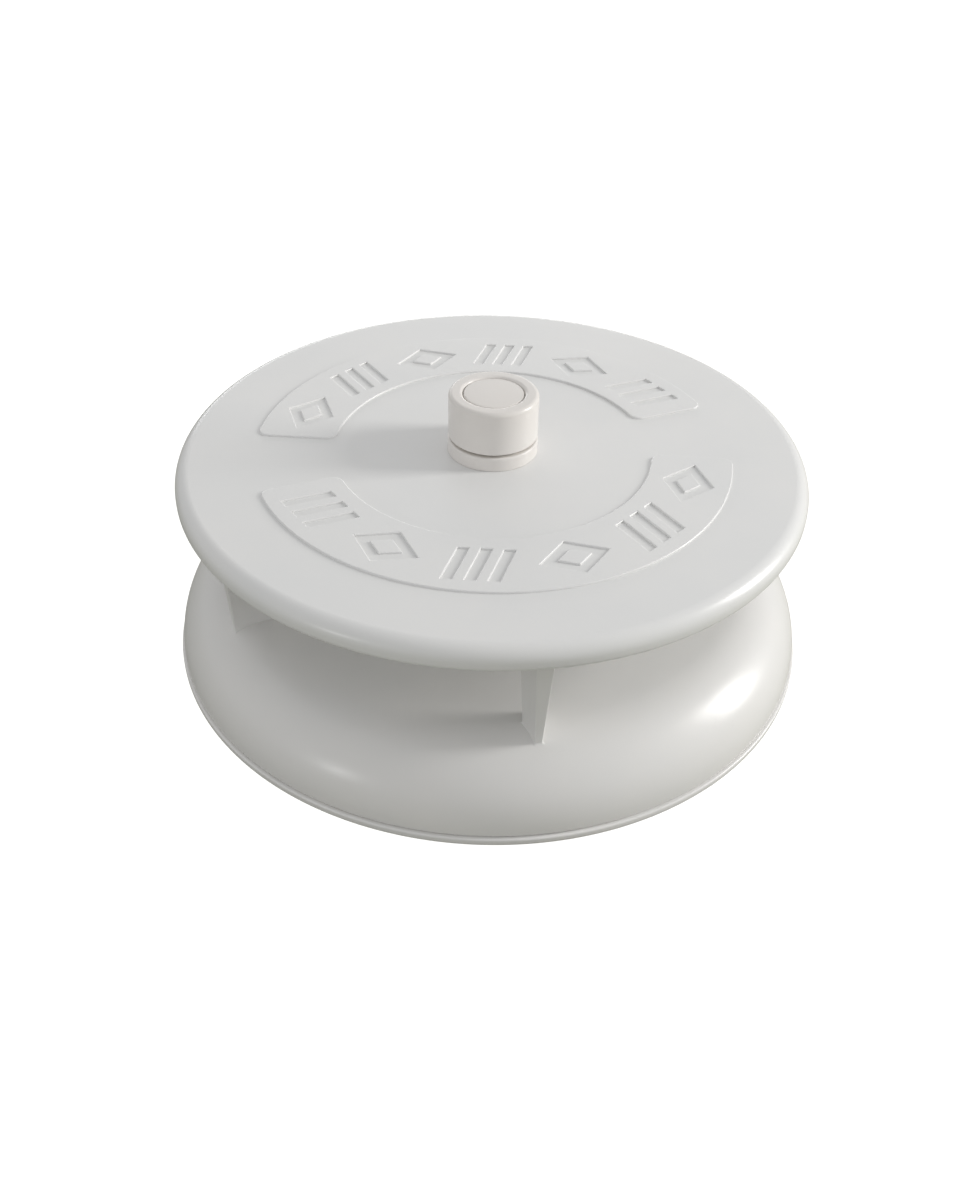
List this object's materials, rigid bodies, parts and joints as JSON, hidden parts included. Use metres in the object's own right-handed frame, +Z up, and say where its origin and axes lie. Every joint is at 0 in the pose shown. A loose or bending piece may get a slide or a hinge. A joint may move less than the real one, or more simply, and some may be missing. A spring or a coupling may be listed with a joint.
{
  "type": "cheese mold",
  "caption": "Round screw-press cheese mold: domed shell on a slotted drain base, a flat plate on legs above it and a central knob that drives the follower.",
  "frame": {"origin": "centre of the drain base's underside, where the mold stands", "axes": "+Z up along the spindle; -Y towards the middle of one arc panel and the first leg"},
  "size_m": [0.2534, 0.2534, 0.107],
  "materials": {
    "plate_plastic": "gloss white moulding",
    "shell_plastic": "gloss white moulding",
    "leg_plastic": "gloss white moulding",
    "knob_plastic": "warm white moulding",
    "washer_plastic": "natural nylon",
    "bearing_plastic": "turned acetal",
    "follower_plastic": "matt moulding",
    "mesh_plastic": "fine mesh",
    "seal_rubber": "translucent grey silicone",
    "stainless": "turned stainless steel"
  },
  "bodies": {
    "base": {"drain_base": "shell_plastic", "drain_mesh": "mesh_plastic"},
    "mould": {"mould_shell": "shell_plastic", "guide_bushes": "bearing_plastic", "top_plate": "plate_plastic", "spindle_tube": "bearing_plastic", "tube_seal": "seal_rubber", "centre_sleeve": "shell_plastic", "clamp_collar": "knob_plastic", "collar_seal": "seal_rubber", "spacer_leg_1": "leg_plastic", "spacer_leg_2": "leg_plastic", "spacer_leg_3": "leg_plastic", "spacer_leg_4": "leg_plastic", "spacer_leg_5": "leg_plastic"},
    "follower": {"follower_plate": "follower_plastic", "thrust_washer": "bearing_plastic", "retainer_ring": "bearing_plastic", "retainer_screws": "stainless", "guide_pins": "stainless"},
    "spindle": {"press_spindle": "stainless", "knob": "knob_plastic", "knob_washer": "washer_plastic", "knob_bolt": "stainless", "knob_plug": "knob_plastic"}
  },
  "joints": [
    {"name": "mould_lift", "type": "slide", "parent": "base", "child": "mould", "axis": [0, 0, 1], "range_m": [0, 0.08]},
    {"name": "follower_travel", "type": "slide", "parent": "mould", "child": "follower", "axis": [0, 0, 1], "range_m": [0, 0.01]},
    {"name": "knob_turn", "type": "hinge", "parent": "follower", "child": "spindle", "pos_m": [0, 0, 0.098], "axis": [0, 0, 1], "range_deg": [0, 900]}
  ],
  "couplings": [
    {"joint": "knob_turn", "follows": "follower_travel", "rad_per_m": 1570.8}
  ]
}
